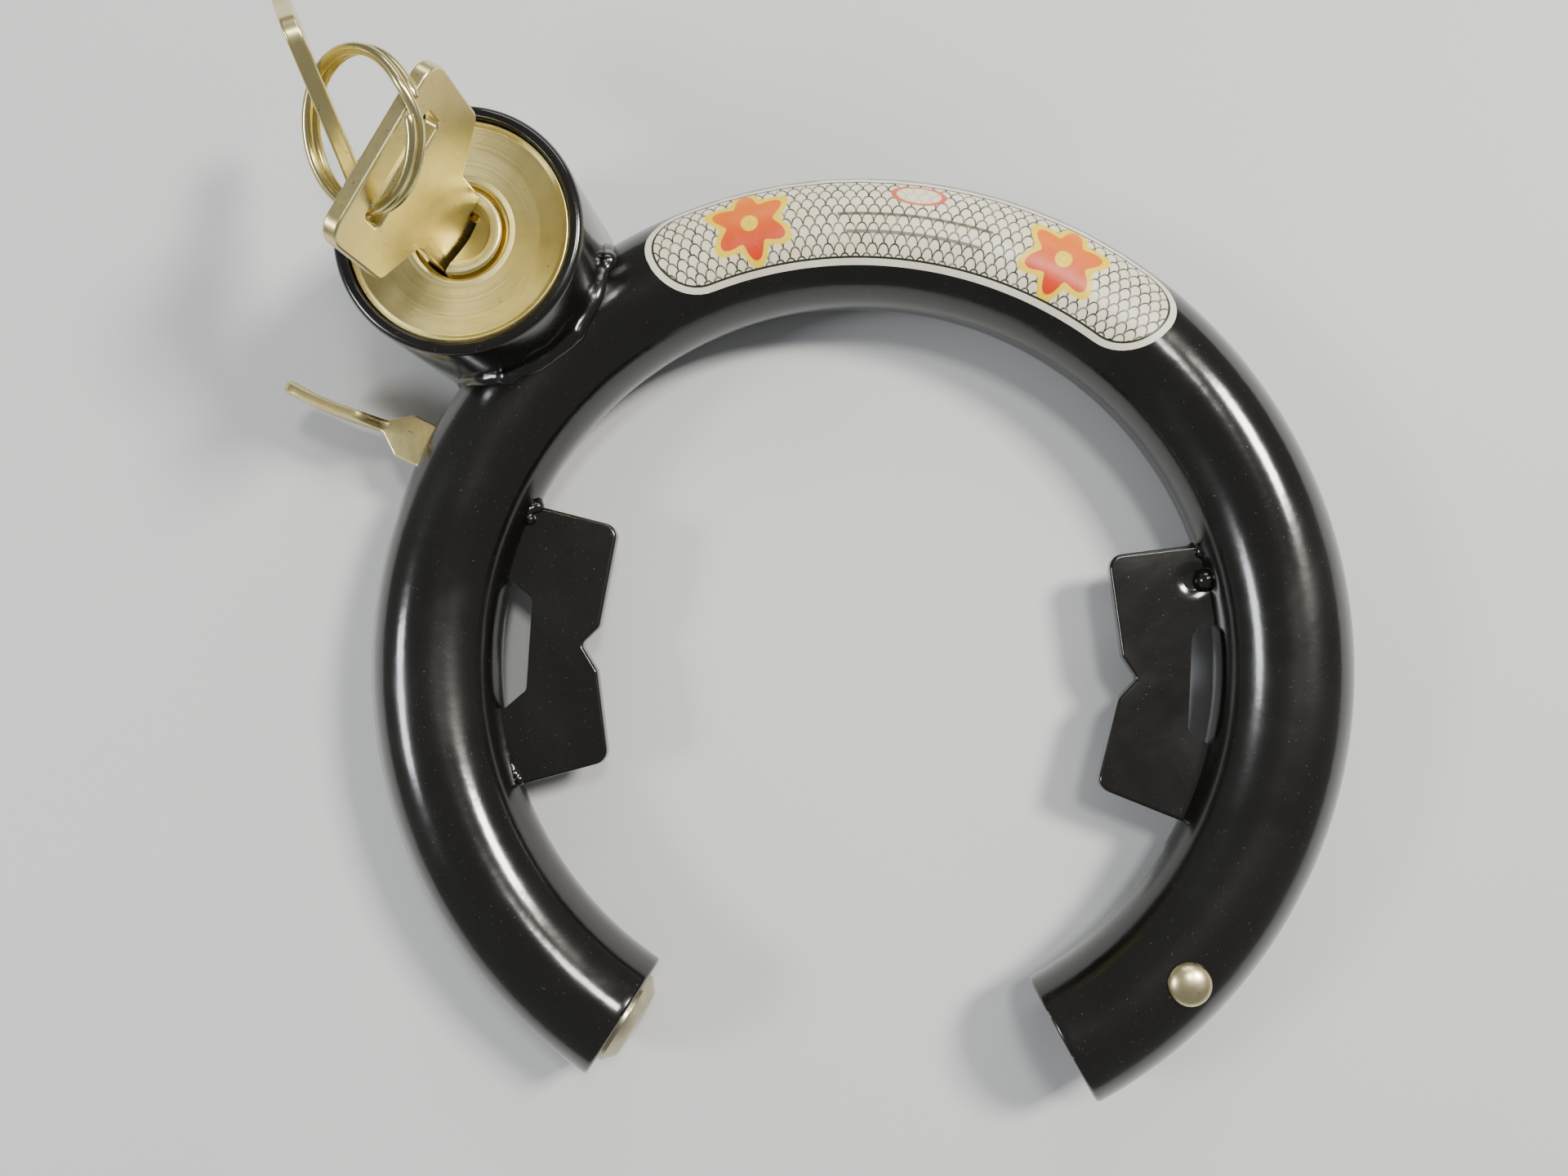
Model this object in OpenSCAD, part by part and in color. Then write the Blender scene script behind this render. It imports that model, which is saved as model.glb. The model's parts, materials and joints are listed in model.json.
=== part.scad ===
// Ring lock for a bicycle frame: a curved shackle slides inside a horseshoe tube to close
// the gap that the wheel passes through. All sizes are in millimetres.
// The origin is the centre of the ring on the tube's middle plane, +Z points out of the
// keyed face, +Y points away from the gap, and angles are counted from +X.

/* [Ring tube] */
// Radius of the tube's centre line
ring_r = 52; // [50:0.5:56]
// Outer diameter of the tube
tube_d = 16; // [15:0.5:17]
// Wall thickness of the tube
tube_wall = 2; // [1.8:0.1:2.2]
// Angle where the tube ends on the lever side of the gap
gap_start = 241; // [239:1:243]
// Angle where the tube ends on the socket side of the gap
gap_end = 302.5; // [301:0.5:305]

/* [Shackle] */
// Diameter of the sliding rod
rod_d = 11.4; // [11:0.1:11.4]
// Angle from open to locked
travel = 72; // [70:1:73]
// Angle of the thumb lever when open
lever_angle = 157; // [155:0.5:159]
// Radius that the thumb tab reaches
lever_reach = 79.5; // [76:0.5:82]
// Width of the lever's root plate
lever_w = 5.8; // [5:0.1:6.4]
// Height of the upright thumb tab
tab_h = 8; // [6:0.5:10]

/* [Lock barrel] */
// Distance from the ring's centre to the barrel's axis
barrel_r = 66.2; // [65.8:0.1:66.6]
// Angle of the barrel around the ring
barrel_angle = 136; // [134:0.5:138]
// Outer diameter of the barrel
barrel_d = 29.2; // [29:0.1:29.6]
// Height of the barrel's rim above the tube's middle plane
rim_z = 18; // [17.5:0.1:19]
// Diameter of the bright face disc
disc_d = 26; // [25.6:0.1:26]
// Diameter of the key plug
plug_d = 10.2; // [9.8:0.1:10.4]
// Angle that the key turns through
key_turn = 60; // [58:1:62]

/* [Keys and key ring] */
// Direction that the key's flat side runs in
key_angle = 63.4; // [60:0.1:66]
// Width of a key's bow
bow_w = 20.4; // [19:0.1:21]
// Height of a key's bow down to its shoulders
bow_h = 14; // [13:0.5:15]
// Thickness of a key
key_t = 1.7; // [1.5:0.1:1.8]
// Height of the main key's top edge
key_top = 41; // [40.5:0.5:42]
// Radius of the split ring at the middle of its wire
split_r = 7.5; // [7.4:0.1:8]
// Diameter of the split ring's wire
split_wire = 1.1; // [0.9:0.1:1.2]

/* [Brackets] */
// Thickness of the mounting plates
plate_t = 2; // [1.6:0.1:2.5]
// Distance from the centre to a plate's free corners
plate_corner_x = 29.8; // [28:0.1:32]
// Distance from the centre to the shallow middle of a plate's free edge
plate_mid_x = 32.3; // [31:0.1:34]
// Half the height of a plate's free edge
plate_half_h = 14.8; // [13:0.1:16]

/* [Hidden] */
$fn = 64;

// Colours
black_paint = "#1b1c1a";
nickel = "#cfc7a8";
brass_plate = "#c9b98a";
steel = "#a8a9a6";
zinc = "#8f918e";
bead_black = "#242522";
label_white = "#dcdcd6";

tube_r = tube_d / 2;
bore_r = tube_r - tube_wall;
rod_r = rod_d / 2;
bottom_z = -tube_r;
socket_span = 360 - gap_end;
tube_span = gap_start + socket_span;

// Shackle: the tip stands a little out of the tube's end when the lock is open
tip_len = 1.7;
tip_small_r = 4;
tip_step = 0.1;
tip_out_angle = 0.4;
rod_tip_angle = gap_start + tip_out_angle;
rod_tail_angle = 42;
notch_angle = barrel_angle - travel;
notch_depth = 3;
lever_t = 2;
lever_slot_gap = 0.3;
lever_slot_margin = 3.4;
lever_in_r = ring_r + 1.5;
lever_pin_r = 1.2;
lever_pin_at = ring_r + 3.2;
tab_t = 1.5;

// Anchor rivet, which holds the return spring and stops the shackle's tip
rivet_angle = 319.7;
rivet_at = ring_r + 1.3;
rivet_shank_r = 1.5;
rivet_head_r = 2.52;
rivet_head_h = 1.5;
rivet_seat_z = tube_r - 0.25;

// Barrel and what it holds
barrel_or = barrel_d / 2;
disc_r = disc_d / 2;
barrel_ir = disc_r + 0.05;
cover_t = 1.6;
face_z = rim_z - 0.8;
disc_t = 1.8;
disc_hole_r = plug_d / 2 + 0.4;
body_r = barrel_ir - 0.05;
body_top = face_z - disc_t;
body_bottom = 5.6;
saddle_gap = 0.15;
plug_r = plug_d / 2;
plug_gap = 0.05;
plug_top = face_z + 0.1;
plug_bottom = body_bottom - 0.2;
neck_r = 3.2;
neck_bottom = 3;
keyway_w = 2.4;
keyway_inner = 2.8;
keyway_floor = 4.6;

// Pin stacks stand in a row along the plug, on the side of the keyway that is closed
pin_r = 1.15;
pin_gap = 0.05;
pin_rows = [14, 11, 8];
pin_lift = [2, 1.4, 0.8];
pin_top = plug_r - 0.2;
driver_start = plug_r + 0.1;
driver_len = 3;
strip_t = 1;
strip_w = 4;
strip_gap = 0.1;
chamber_end = body_r - strip_t;

// Drive cam and latch bolt: the cam's pin drives a cross slot in the bolt
cam_r = 4.6;
cam_t = 1.1;
cam_e = 3.2;
cam_pin_r = 1.2;
cam_pin_bottom = -1.6;
cam_pin_angle = barrel_angle + 90 + key_turn / 2;
cross_slot_x = barrel_r - cam_e * sin(key_turn / 2);
cross_slot_len = 3.8;
cross_slot_back = 2.1;
bolt_r = 2.5;
bolt_hole_r = bolt_r + 0.08;
bolt_tip_r = ring_r + rod_r + 0.1;
bolt_head_start = 61.4;
bolt_head_end = 71;
bolt_w = 10.4;
bolt_h = 5;
bolt_gap = 0.1;
guide_top = 2.8;
guide_bottom = bottom_z + cover_t;
spring_end = barrel_r + body_r - 0.9;
bolt_spring_r = 1.7;
bolt_spring_wire = 0.5;

// Keys, in their own frame: X across the key, Z up with 0 at the top edge
bow_corner_r = 2.4;
neck_w_left = 4.7;
neck_w_right = 4.6;
shoulder_z = -17;
slot_half = 6.2;
slot_low = -7;
slot_high = -3.5;
bow_trim_x = 0.9;
bow_trim_z = 0.7;
collar_z = -23.2;
slot_round = 0.6;
blade_left = 4.7;
blade_back = 0.2;
blade_end = -35.8;
blade_overlap = 0.1;
cut_flat = 1.5;
tip_slope = 1.8;
tip_rise = 1.6;
tip_back_slope = 0.8;
tip_back_rise = 1.2;
key_side = -0.3;
hang_z = -5.37;
hang_x = -5.04;
key_stand = [
  barrel_r * cos(barrel_angle),
  barrel_r * sin(barrel_angle),
  key_top
];

// Split ring: it passes through the main key's slot and leans over its top edge
ring_lean_to = 214.63;
ring_lean = 33.73;
ring_roll = 54.69;

// Spare key: it hangs on the split ring, outside the barrel
spare_at = [-55.89, 53.72, 38.81];
spare_turn = [-17.4, 45.23, -75.79];
spare_hang_x = -4.06;
spare_hang_z = -3.62;

// Bracket outline
plate_root_r = ring_r - tube_r;
plate_root_y = 17;
notch_w = 5.4;
notch_in = 1.9;
slot_in_x = 40.3;
slot_half_in = 5.8;
slot_half_out = 7.6;
corner_r = 1.6;
plate_tuck = 2;
dimple_angle = 16.2;
dimple_at = 43.2;
dimple_r = 1.4;
dimple_depth = 0.4;

// Label on the front of the tube
label_start = 49;
label_end = 121;
label_half = 46;
label_lean = 12;
label_t = 0.12;

// ---------------------------------------------------------------- helpers

// Puts its children at an angle around the ring, +X pointing outwards
module around(a) {
  rotate([0, 0, a]) children();
}

// Puts its children on the barrel's axis, +X pointing away from the ring's centre
module on_barrel() {
  around(barrel_angle) translate([barrel_r, 0, 0]) children();
}

// Puts its children on the barrel's axis, +X along the flat of the key
module on_keyway() {
  on_barrel() rotate([0, 0, key_angle - barrel_angle]) children();
}

// A stretch of round bar or bore that follows the ring
module ring_bar(r, from, to) {
  around(from) rotate_extrude(angle = to - from, $fn = 180) translate([ring_r, 0]) circle(r);
}

// A flat shape in the plane of the ring, centred on it
module plate(t) {
  translate([0, 0, -t / 2]) linear_extrude(t) children();
}

// A rounded rectangle from corner [x0, y0] to corner [x1, y1]
module soft_rect(x0, y0, x1, y1, r) {
  translate([x0 + r, y0]) square([x1 - x0 - 2 * r, y1 - y0]);
  translate([x0, y0 + r]) square([x1 - x0, y1 - y0 - 2 * r]);
  for (x = [x0 + r, x1 - r], y = [y0 + r, y1 - r]) translate([x, y]) circle(r);
}

// A swept wire: rings of points joined into one closed skin
module wire(points, sides) {
  faces = [
    for (i = [0 : len(points) / sides - 2], j = [0 : sides - 1])
      each [
        [i * sides + j, i * sides + (j + 1) % sides, (i + 1) * sides + (j + 1) % sides],
        [i * sides + j, (i + 1) * sides + (j + 1) % sides, (i + 1) * sides + j]
      ],
    [for (j = [sides - 1 : -1 : 0]) j],
    [for (j = [0 : sides - 1]) len(points) - sides + j]
  ];
  polyhedron(points, faces, convexity = 10);
}

// Points of a coil of radius r along +Z, from 0 to h
function coil_points(r, w, h, turns, steps, sides) = [
  for (i = [0 : turns * steps], j = [0 : sides - 1])
    let (a = 360 * i / steps, b = 360 * j / sides, q = r + w / 2 * cos(b))
    [q * cos(a), q * sin(a), h * i / (turns * steps) + w / 2 * sin(b)]
];

// Points of a coil of radius r whose middle follows the ring
function ring_coil_points(r, w, from, to, turns, steps, sides) = [
  for (i = [0 : turns * steps], j = [0 : sides - 1])
    let (
      a = 360 * i / steps,
      b = 360 * j / sides,
      g = from + (to - from) * i / (turns * steps),
      q = r + w / 2 * cos(b),
      x = ring_r + q * cos(a),
      y = w / 2 * sin(b)
    )
    [x * cos(g) - y * sin(g), x * sin(g) + y * cos(g), q * sin(a)]
];

// ---------------------------------------------------------------- fixed parts

// Horseshoe tube with the lever's slot, the bolt's hole and the rivet's hole
module ring_tube() {
  slot_r = (lever_t / 2) + lever_slot_gap;
  slot_from = lever_angle - lever_slot_margin;
  slot_to = lever_angle + travel + lever_slot_margin;
  color(black_paint) difference() {
    around(gap_end) rotate_extrude(angle = tube_span, $fn = 180) translate([ring_r, 0]) difference() {
      circle(tube_r);
      circle(bore_r);
    }
    around(slot_from) rotate_extrude(angle = slot_to - slot_from, $fn = 180)
      translate([ring_r + 3, -slot_r]) square([tube_r, 2 * slot_r]);
    around(barrel_angle) translate([ring_r + 3, 0, 0]) rotate([0, 90, 0])
      cylinder(r = bolt_hole_r, h = tube_r);
    around(rivet_angle) translate([rivet_at, 0, bottom_z - 1])
      cylinder(r = rivet_shank_r + plug_gap, h = tube_d + 2);
    around(rivet_angle) translate([rivet_at, 0, rivet_seat_z])
      cylinder(r = rivet_head_r + plug_gap, h = tube_r);
  }
}

// Round housing, coped over the outer half of the tube
module barrel_shell() {
  lip = 0.5;
  color(black_paint) difference() {
    on_barrel() rotate_extrude() polygon([
      [barrel_ir, bottom_z],
      [barrel_or - lip, bottom_z],
      [barrel_or, bottom_z + lip],
      [barrel_or, rim_z - lip],
      [barrel_or - lip, rim_z],
      [barrel_ir + 0.3, rim_z],
      [barrel_ir, rim_z - 0.3]
    ]);
    rotate_extrude($fn = 180) translate([ring_r, 0]) circle(tube_r);
  }
}

// Plate that closes the back of the barrel
module back_cover() {
  color(black_paint) difference() {
    on_barrel() translate([0, 0, bottom_z]) cylinder(r = body_r, h = cover_t);
    rotate_extrude($fn = 180) translate([ring_r, 0]) circle(tube_r + saddle_gap);
  }
}

// Bright dished disc around the plug
module face_disc() {
  color(nickel) on_barrel() rotate_extrude() polygon([
    [disc_hole_r, face_z - disc_t],
    [disc_r, face_z - disc_t],
    [disc_r, face_z + 0.1],
    [disc_r - 0.4, face_z + 0.35],
    [disc_r - 0.9, face_z + 0.1],
    [disc_hole_r + 1.2, face_z - 0.25],
    [disc_hole_r + 0.3, face_z - 0.15],
    [disc_hole_r, face_z - 0.4]
  ]);
}

// Body of the cylinder lock, with the plug's bore and a row of pin chambers
module cylinder_body() {
  color(brass_plate) difference() {
    on_barrel() translate([0, 0, body_bottom]) cylinder(r = body_r, h = body_top - body_bottom);
    rotate_extrude($fn = 180) translate([ring_r, 0]) circle(tube_r + saddle_gap);
    on_barrel() translate([0, 0, body_bottom - 1]) cylinder(r = plug_r + plug_gap, h = body_top);
    for (z = pin_rows) on_keyway() translate([0, 0, z]) rotate([0, 90, 0])
      cylinder(r = pin_r + pin_gap, h = barrel_or);
    on_keyway() translate([chamber_end, -strip_w / 2, body_bottom - 1])
      cube([barrel_or, strip_w, rim_z]);
  }
}

// Strip that closes the pin chambers
module chamber_strip() {
  half = strip_w / 2 - strip_gap;
  color(steel) intersection() {
    on_keyway() translate([chamber_end, -half, body_bottom])
      cube([barrel_or, 2 * half, body_top - body_bottom]);
    on_barrel() translate([0, 0, body_bottom]) cylinder(r = body_r, h = body_top - body_bottom);
  }
}

// Driver pins, outside the shear line
module driver_pins() {
  color(steel) for (z = pin_rows) on_keyway() translate([driver_start, 0, z])
    rotate([0, 90, 0]) cylinder(r = pin_r, h = driver_len);
}

// Springs behind the driver pins
module pin_springs() {
  from = driver_start + driver_len;
  w = 0.3;
  h = chamber_end - from - w;
  turns = 5;
  color(steel) for (z = pin_rows) on_keyway() translate([from + w / 2, 0, z])
    rotate([0, 90, 0]) wire(coil_points(pin_r - 0.2, w, h, turns, 8, 4), 4);
}

// Block that guides the latch bolt and holds its spring
module bolt_guide() {
  channel_w = bolt_w + 2 * bolt_gap;
  channel_end = bolt_head_end + cam_e + 0.5;
  pocket_w = 2 * (bolt_spring_r + bolt_spring_wire) + 0.4;
  low = -bolt_h / 2 - bolt_gap;
  color(zinc) difference() {
    on_barrel() translate([0, 0, guide_bottom]) cylinder(r = body_r, h = guide_top - guide_bottom);
    rotate_extrude($fn = 180) translate([ring_r, 0]) circle(tube_r + saddle_gap);
    around(barrel_angle) {
      translate([ring_r, -channel_w / 2, low]) cube([channel_end - ring_r, channel_w, 2 * tube_r]);
      translate([ring_r, -pocket_w / 2, low]) cube([spring_end - ring_r, pocket_w, 2 * tube_r]);
    }
  }
}

// Compression spring that presses the bolt against the shackle
module bolt_spring() {
  w = bolt_spring_wire;
  from = bolt_head_end + w / 2 + 0.1;
  h = spring_end - from - w / 2 - 0.1;
  turns = 6;
  color(steel) around(barrel_angle) translate([from, 0, 0]) rotate([0, 90, 0])
    wire(coil_points(bolt_spring_r, w, h, turns, 10, 5), 5);
}

// Rivet with a low domed head on the front of the tube
module anchor_rivet() {
  dome_r = (rivet_head_r * rivet_head_r + rivet_head_h * rivet_head_h) / (2 * rivet_head_h);
  color(nickel) around(rivet_angle) translate([rivet_at, 0, 0]) {
    translate([0, 0, bottom_z + 0.1]) cylinder(r = rivet_shank_r, h = rivet_seat_z - bottom_z - 0.1);
    intersection() {
      translate([0, 0, rivet_seat_z + rivet_head_h - dome_r]) sphere(dome_r);
      translate([0, 0, rivet_seat_z]) cylinder(r = rivet_head_r, h = rivet_head_h + 1);
    }
  }
}

// Tension spring inside the tube, from the rivet to the shackle's tail
module return_spring() {
  from = rivet_angle - 360 + 2.6;
  to = rod_tail_angle - 0.8;
  coil_r = 4.3;
  wire_d = 0.9;
  turns = 26;
  color(steel) wire(ring_coil_points(coil_r, wire_d, from, to, turns, 10, 5), 5);
}

// Outline of one mounting plate, drawn for the +X side
module bracket_outline() {
  root_x = sqrt(plate_root_r * plate_root_r - plate_root_y * plate_root_y) + 1;
  slot_out_x = plate_root_r + plate_tuck + 1;
  difference() {
    union() {
      polygon([
        [root_x, plate_root_y],
        [plate_corner_x + corner_r, plate_half_h],
        [plate_corner_x, plate_half_h - corner_r],
        [plate_mid_x, notch_w / 2],
        [plate_mid_x + notch_in, 0],
        [plate_mid_x, -notch_w / 2],
        [plate_corner_x, -plate_half_h + corner_r],
        [plate_corner_x + corner_r, -plate_half_h],
        [root_x, -plate_root_y],
        [plate_root_r + plate_tuck, -plate_root_y / 2],
        [plate_root_r + plate_tuck, plate_root_y / 2]
      ]);
      for (s = [-1, 1]) translate([plate_corner_x + corner_r, s * (plate_half_h - corner_r)])
        circle(corner_r);
    }
    polygon([
      [slot_in_x, slot_half_in],
      [slot_out_x, slot_half_out],
      [slot_out_x, -slot_half_out],
      [slot_in_x, -slot_half_in]
    ]);
  }
}

// One mounting plate, cut to the inner wall of the tube
module bracket() {
  difference() {
    plate(plate_t) bracket_outline();
    rotate_extrude($fn = 180) translate([ring_r, 0]) circle(tube_r);
  }
}

module left_bracket() {
  color(black_paint) mirror([1, 0, 0]) bracket();
}

module right_bracket() {
  color(black_paint) difference() {
    bracket();
    around(dimple_angle) translate([dimple_at, 0, plate_t / 2 - dimple_depth])
      cylinder(r = dimple_r, h = plate_t);
  }
}

// Weld bead where the barrel sits on the tube
module barrel_weld() {
  bead = 1.5;
  reach = 62;
  steps = 6;
  function bead_at(a) =
    let (
      p = [barrel_r + barrel_or * cos(a), barrel_or * sin(a)],
      q = norm(p) - ring_r,
      z = sqrt(max(0.01, tube_r * tube_r - q * q))
    )
    [p[0], p[1], z];
  color(bead_black) around(barrel_angle)
    for (i = [-steps : steps - 1]) hull() for (k = [i, i + 1])
      translate(bead_at(180 + reach * k / steps)) sphere(bead, $fn = 10);
}

// Short weld beads that hold the mounting plates
module bracket_welds() {
  bead = 1.3;
  inset = 0.4;
  start = asin(plate_root_y / plate_root_r) - 4;
  sweep = 6;
  color(bead_black) for (side = [0, 180], s = [-1, 1])
    around(side + s * start) rotate_extrude(angle = s * sweep, $fn = 90)
      translate([plate_root_r - inset, plate_t / 2]) circle(bead, $fn = 24);
}

// Thin label that lies on the front of the tube
module front_label() {
  color(label_white) around(label_start) rotate_extrude(angle = label_end - label_start, $fn = 180)
    translate([ring_r, 0]) rotate([0, 0, 90 - label_lean - label_half]) intersection() {
      difference() {
        circle(tube_r + label_t);
        circle(tube_r);
      }
      polygon([
        [0, 0],
        2 * tube_r * [1, 0],
        2 * tube_r * [cos(label_half), sin(label_half)],
        2 * tube_r * [cos(2 * label_half), sin(2 * label_half)]
      ]);
    }
}

// ---------------------------------------------------------------- shackle

// Curved rod with a tapered tip, a locking notch and a seat for the lever
module shackle_rod() {
  color(steel) difference() {
    union() {
      ring_bar(rod_r, rod_tail_angle, rod_tip_angle);
      around(rod_tip_angle) translate([ring_r, 0, 0]) rotate([-90, 0, 0])
        cylinder(r1 = rod_r - tip_step, r2 = tip_small_r, h = tip_len);
    }
    around(notch_angle) translate([ring_r + rod_r - notch_depth, 0, 0]) rotate([0, 90, 0])
      cylinder(r = bolt_hole_r + 0.2, h = tube_r);
    around(lever_angle) {
      translate([lever_in_r - 0.1, -lever_w / 2 - 0.1, -lever_t / 2 - 0.1])
        cube([tube_r, lever_w + 0.2, lever_t + 0.2]);
      translate([lever_pin_at, 0, -tube_r]) cylinder(r = lever_pin_r + plug_gap, h = tube_d);
    }
  }
}

// Thumb lever: a flat root, a narrow neck and a tab turned upright
module thumb_lever() {
  neck_r0 = 63.6;
  tab_from = 66.2;
  neck_end = tab_from - 0.6;
  root_end = tab_from + 1.2;
  half_neck = 1.25;
  half_end = 0.75;
  bend = 0.9;
  tab_round = 2.9;
  tab_mid = (tab_from + lever_reach) / 2;
  color(brass_plate) around(lever_angle) {
    difference() {
      plate(lever_t) polygon([
        [lever_in_r, -lever_w / 2],
        [neck_r0, -lever_w / 2],
        [neck_end, -half_neck],
        [root_end, -half_end],
        [root_end, half_end],
        [neck_end, half_neck],
        [neck_r0, lever_w / 2],
        [lever_in_r, lever_w / 2]
      ]);
      translate([lever_pin_at, 0, -tube_r]) cylinder(r = lever_pin_r + plug_gap, h = tube_d);
    }
    intersection() {
      translate([0, 0, -tab_h / 2]) linear_extrude(tab_h) polygon([
        [tab_from, -tab_t / 2],
        [tab_mid, -tab_t / 2 + bend],
        [lever_reach, -tab_t / 2 + bend],
        [lever_reach, tab_t / 2 + bend],
        [tab_mid, tab_t / 2 + bend],
        [tab_from, tab_t / 2]
      ]);
      rotate([90, 0, 0]) translate([0, 0, -tab_h / 2]) linear_extrude(tab_h)
        soft_rect(tab_from - 3, -tab_h / 2, lever_reach, tab_h / 2, tab_round);
    }
  }
}

// Pin that holds the lever in the rod
module lever_pin() {
  half = sqrt(rod_r * rod_r - pow(lever_pin_at - ring_r + lever_pin_r, 2)) - 0.1;
  color(steel) around(lever_angle) translate([lever_pin_at, 0, -half])
    cylinder(r = lever_pin_r, h = 2 * half);
}

// ---------------------------------------------------------------- plug and bolt

// Plug that the key turns, with its keyway and a row of pin holes
module key_plug() {
  ring_w = 1.7;
  color(nickel) difference() {
    on_barrel() rotate_extrude() polygon([
      [0, neck_bottom],
      [neck_r, neck_bottom],
      [neck_r, plug_bottom],
      [plug_r, plug_bottom],
      [plug_r, plug_top - 0.3],
      [plug_r - 0.3, plug_top],
      [plug_r - ring_w, plug_top],
      [plug_r - ring_w - 0.3, plug_top - 0.2],
      [0, plug_top - 1.4]
    ]);
    on_keyway() translate([-plug_r - 1, -keyway_w / 2, keyway_floor])
      cube([plug_r + 1 + keyway_inner, keyway_w, rim_z]);
    for (z = pin_rows) on_keyway() translate([0, 0, z]) rotate([0, 90, 0])
      cylinder(r = pin_r + pin_gap, h = barrel_or);
  }
}

// Key pins, standing on the cuts of the key
module key_pins() {
  color(brass_plate) for (i = [0 : len(pin_rows) - 1]) on_keyway()
    translate([pin_lift[i] + 0.15, 0, pin_rows[i]]) rotate([0, 90, 0])
      cylinder(r = pin_r, h = pin_top - pin_lift[i] - 0.15);
}

// Open clip that keeps the plug in the cylinder body
module plug_clip() {
  clip_t = 0.8;
  color(steel) on_barrel() translate([0, 0, plug_bottom - clip_t - 0.1]) difference() {
    cylinder(r = plug_r + 0.8, h = clip_t);
    translate([0, 0, -1]) cylinder(r = neck_r + 0.05, h = 3);
    translate([-neck_r, 0, -1]) cube([2 * neck_r, 2 * plug_r, 3]);
  }
}

// Disc with an off-centre pin, fixed on the end of the plug
module drive_cam() {
  color(zinc) on_barrel() {
    difference() {
      union() {
        translate([0, 0, neck_bottom]) cylinder(r = cam_r, h = cam_t);
        rotate([0, 0, cam_pin_angle - barrel_angle]) translate([cam_e, 0, cam_pin_bottom])
          cylinder(r = cam_pin_r, h = neck_bottom + cam_t / 2 - cam_pin_bottom);
      }
      translate([0, 0, neck_bottom]) cylinder(r = neck_r, h = 3);
    }
  }
}

// Bolt with a round nose, a wide head and a cross slot for the cam's pin
module latch_bolt() {
  slot_w = 2 * (cam_pin_r + 0.12);
  color(steel) around(barrel_angle) difference() {
    union() {
      translate([bolt_tip_r, 0, 0]) rotate([0, 90, 0])
        cylinder(r = bolt_r, h = bolt_head_start - bolt_tip_r + 1);
      translate([bolt_head_start, -bolt_w / 2, -bolt_h / 2])
        cube([bolt_head_end - bolt_head_start, bolt_w, bolt_h]);
    }
    translate([cross_slot_x - slot_w / 2, cam_e - cross_slot_back, -bolt_h])
      cube([slot_w, cross_slot_len, 2 * bolt_h]);
  }
}

// ---------------------------------------------------------------- keys

// A flat key, standing on its blade: X across, Z up, its top edge at 0
module key_body() {
  half = bow_w / 2;
  blade_top = collar_z + blade_overlap;
  cuts = [for (z = pin_rows) z - key_top - cut_flat];
  rotate([90, 0, 0]) translate([0, 0, -key_t / 2]) linear_extrude(key_t) difference() {
    union() {
      soft_rect(-half, -bow_h, half, 0, bow_corner_r);
      polygon([
        [-half + bow_trim_x, -bow_h + bow_trim_z],
        [-neck_w_left, shoulder_z],
        [-neck_w_left, collar_z],
        [neck_w_right, collar_z],
        [neck_w_right, shoulder_z],
        [half - bow_trim_x, -bow_h + bow_trim_z]
      ]);
      for (i = [0 : len(cuts) - 1]) translate([-blade_left, cuts[i]])
        square([blade_left + pin_lift[i], blade_top - cuts[i]]);
      polygon([
        [-blade_left, blade_top],
        [-blade_left, blade_end + tip_rise],
        [-blade_left + tip_slope, blade_end],
        [blade_back - tip_back_slope, blade_end],
        [blade_back, blade_end + tip_back_rise],
        [blade_back, blade_top]
      ]);
    }
    soft_rect(-slot_half, slot_low, slot_half, slot_high, slot_round);
  }
}

// Key that stands in the plug
module main_key() {
  color(nickel) translate(key_stand) rotate([0, 0, key_angle]) translate([0, -key_side, 0])
    key_body();
}

// Two touching turns of wire
module split_ring() {
  color(nickel) translate(key_stand) rotate([0, 0, key_angle])
    translate([hang_x, -key_side, hang_z]) rotate([0, 0, ring_lean_to - key_angle])
      rotate([0, ring_lean, 0]) rotate([0, 0, ring_roll]) translate([-split_r, 0, 0])
        rotate_extrude($fn = 96) for (s = [-1, 1]) translate([split_r, s * split_wire * 0.48])
          circle(split_wire / 2, $fn = 32);
}

// Second key of the pair
module spare_key() {
  color(nickel) translate(spare_at) rotate(spare_turn)
    translate([-spare_hang_x, 0, -spare_hang_z]) key_body();
}

ring_tube();
barrel_shell();
back_cover();
face_disc();
cylinder_body();
chamber_strip();
driver_pins();
pin_springs();
bolt_guide();
bolt_spring();
anchor_rivet();
return_spring();
left_bracket();
right_bracket();
barrel_weld();
bracket_welds();
front_label();
shackle_rod();
thumb_lever();
lever_pin();
key_plug();
key_pins();
plug_clip();
drive_cam();
latch_bolt();
main_key();
split_ring();
spare_key();
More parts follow.
